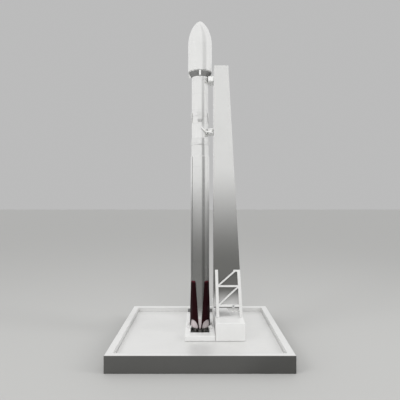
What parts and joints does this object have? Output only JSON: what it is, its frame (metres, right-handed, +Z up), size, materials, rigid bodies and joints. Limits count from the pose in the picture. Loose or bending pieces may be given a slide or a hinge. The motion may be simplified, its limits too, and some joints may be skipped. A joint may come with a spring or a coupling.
{
  "type": "scale display model of a two-stage space rocket on a launch base with a tilting strongback",
  "caption": "Desk model of a slender two-stage rocket with folded legs, standing on a square tray base beside a tapered strongback that tilts back and has opening claws.",
  "frame": {"origin": "on the rocket's axis, at the middle of the base's underside", "axes": "+Z up along the rocket, +X from the rocket to the strongback, -Y the front"},
  "size_m": [0.248, 0.248, 0.5064],
  "materials": {
    "white_satin": "satin white plastic of the stand and small fittings",
    "white_gloss": "pearly white lacquer on the plastic of the rocket's tubes, the fairing and the strongback's mast",
    "base_white": "satin pearly white lacquer on the plastic of the tray base",
    "leg_maroon": "very dark maroon gloss of the folded landing legs",
    "dark_grey": "dark grey of the flame deflector and the rear wall",
    "adapter_grey": "mid grey of the cone between the second stage and the fairing",
    "engine_metal": "dark metallic engine bells",
    "pin_steel": "plain steel hinge pins"
  },
  "bodies": {
    "root": {"base_rim": "base_white", "base_floor": "base_white", "launch_mount": "white_satin", "mount_rear_wall": "dark_grey", "flame_deflector": "dark_grey", "hold_down_1": "white_satin", "hold_down_2": "white_satin", "hold_down_3": "white_satin", "hold_down_4": "white_satin", "strongback_plinth": "white_satin", "frame_front": "white_satin", "frame_rear": "white_satin", "pivot_pin": "pin_steel", "engine_section": "white_satin", "engine_cluster": "engine_metal", "landing_leg_1": "leg_maroon", "landing_leg_2": "leg_maroon", "landing_leg_3": "leg_maroon", "landing_leg_4": "leg_maroon", "first_stage": "white_gloss", "raceway_1": "white_satin", "raceway_2": "white_satin", "interstage": "white_gloss", "grid_fin_1": "white_satin", "grid_fin_2": "white_satin", "grid_fin_3": "white_satin", "grid_fin_4": "white_satin", "thruster_pod_1": "white_satin", "thruster_pod_2": "white_satin", "thruster_pod_3": "white_satin", "thruster_pod_4": "white_satin", "second_stage": "white_gloss", "fairing_skirt": "white_satin", "skirt_liner": "adapter_grey", "fairing_front": "white_gloss", "fairing_rear": "white_gloss"},
    "strongback": {"strongback_mast": "white_gloss", "top_arm": "white_satin", "middle_arm": "white_satin", "claw_pin_front": "pin_steel", "claw_pin_rear": "pin_steel"},
    "front_claw": {"claw_front": "white_satin"},
    "rear_claw": {"claw_rear": "white_satin"}
  },
  "joints": [
    {"name": "strongback_tilt", "type": "hinge", "parent": "root", "child": "strongback", "pos_m": [0.0515, 0, 0.0596], "axis": [0, 1, 0], "range_deg": [0, 60]},
    {"name": "front_claw_swing", "type": "hinge", "parent": "strongback", "child": "front_claw", "pos_m": [0.017, -0.0126, 0.33], "axis": [0, 0, 1], "range_deg": [0, 75]},
    {"name": "rear_claw_swing", "type": "hinge", "parent": "strongback", "child": "rear_claw", "pos_m": [0.017, 0.0126, 0.33], "axis": [0, 0, -1], "range_deg": [0, 75]}
  ]
}
